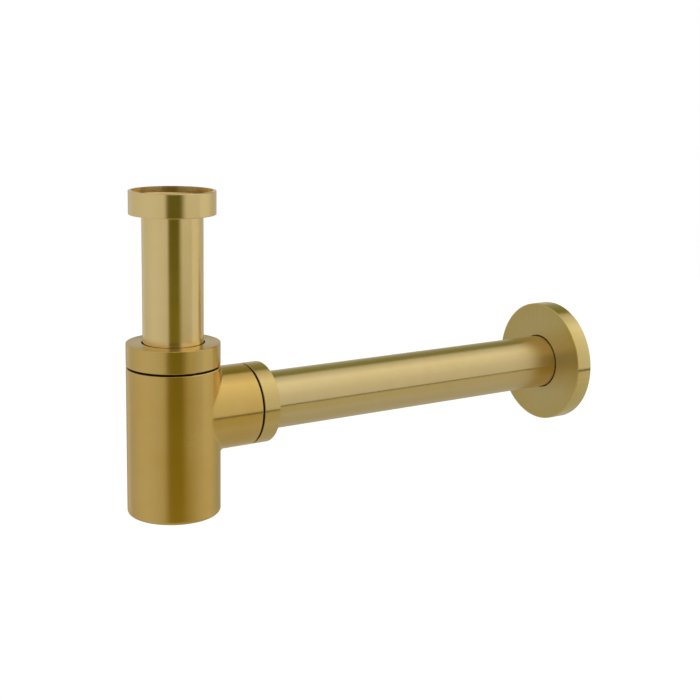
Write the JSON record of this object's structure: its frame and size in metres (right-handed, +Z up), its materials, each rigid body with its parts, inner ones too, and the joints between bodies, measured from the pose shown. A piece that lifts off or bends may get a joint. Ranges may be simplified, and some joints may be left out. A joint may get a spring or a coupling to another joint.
{
  "type": "bottle trap",
  "caption": "Round wash-basin bottle trap in brushed brass: coupling nut, inlet tube, bottle with collar nut and side branch, outlet pipe and deep round wall flange.",
  "frame": {"origin": "centre of the inlet nut's open top, where the basin waste screws in", "axes": "+Z up along the inlet tube, +X along the outlet pipe towards the wall"},
  "size_m": [0.2996, 0.0732, 0.1725],
  "materials": {
    "brass": "brushed, satin",
    "rubber": "matt black",
    "nylon": "matt, off-white"
  },
  "bodies": {
    "inlet_nut": {"inlet_nut": "brass"},
    "inlet_washer": {"inlet_washer": "rubber"},
    "inlet_tube": {"inlet_tube": "brass"},
    "bottle": {"bottle_body": "brass", "inlet_seal": "rubber", "outlet_seal": "rubber"},
    "inlet_slip_ring": {"inlet_slip_ring": "nylon"},
    "bottle_nut": {"bottle_nut": "brass"},
    "outlet_slip_ring": {"outlet_slip_ring": "nylon"},
    "outlet_nut": {"outlet_nut": "brass"},
    "outlet_pipe": {"outlet_pipe": "brass"},
    "wall_flange": {"wall_flange": "brass", "flange_o_ring": "rubber"}
  },
  "joints": [
    {"name": "inlet_nut_slide", "type": "slide", "parent": "inlet_nut", "child": "inlet_washer", "axis": [0, 0, 1], "range_m": [0, 0.045]},
    {"name": "inlet_swivel", "type": "hinge", "parent": "inlet_washer", "child": "inlet_tube", "pos_m": [0, 0, -0.0102], "axis": [0, 0, 1], "continuous": true},
    {"name": "height_adjust", "type": "slide", "parent": "inlet_tube", "child": "bottle", "axis": [0, 0, 1], "range_m": [-0.02, 0.01]},
    {"name": "bottle_nut_lift", "type": "slide", "parent": "bottle", "child": "inlet_slip_ring", "axis": [0, 0, 1], "range_m": [0, 0.00636]},
    {"name": "bottle_nut_turn", "type": "hinge", "parent": "inlet_slip_ring", "child": "bottle_nut", "pos_m": [0, 0, -0.0855], "axis": [0, 0, 1], "range_deg": [0, 1143]},
    {"name": "outlet_nut_travel", "type": "slide", "parent": "bottle", "child": "outlet_slip_ring", "axis": [1, 0, 0], "range_m": [0, 0.00536]},
    {"name": "outlet_nut_turn", "type": "hinge", "parent": "outlet_slip_ring", "child": "outlet_nut", "pos_m": [0.0486, 0, -0.1189], "axis": [1, 0, 0], "range_deg": [0, 963]},
    {"name": "outlet_pipe_slide", "type": "slide", "parent": "bottle", "child": "outlet_pipe", "axis": [1, 0, 0], "range_m": [-0.01, 0.01]},
    {"name": "wall_flange_slide", "type": "slide", "parent": "outlet_pipe", "child": "wall_flange", "axis": [1, 0, 0], "range_m": [-0.18, 0]}
  ],
  "couplings": [
    {"joint": "bottle_nut_lift", "follows": "bottle_nut_turn", "m_per_rad": 0.00031831},
    {"joint": "outlet_nut_travel", "follows": "outlet_nut_turn", "m_per_rad": 0.00031831}
  ]
}
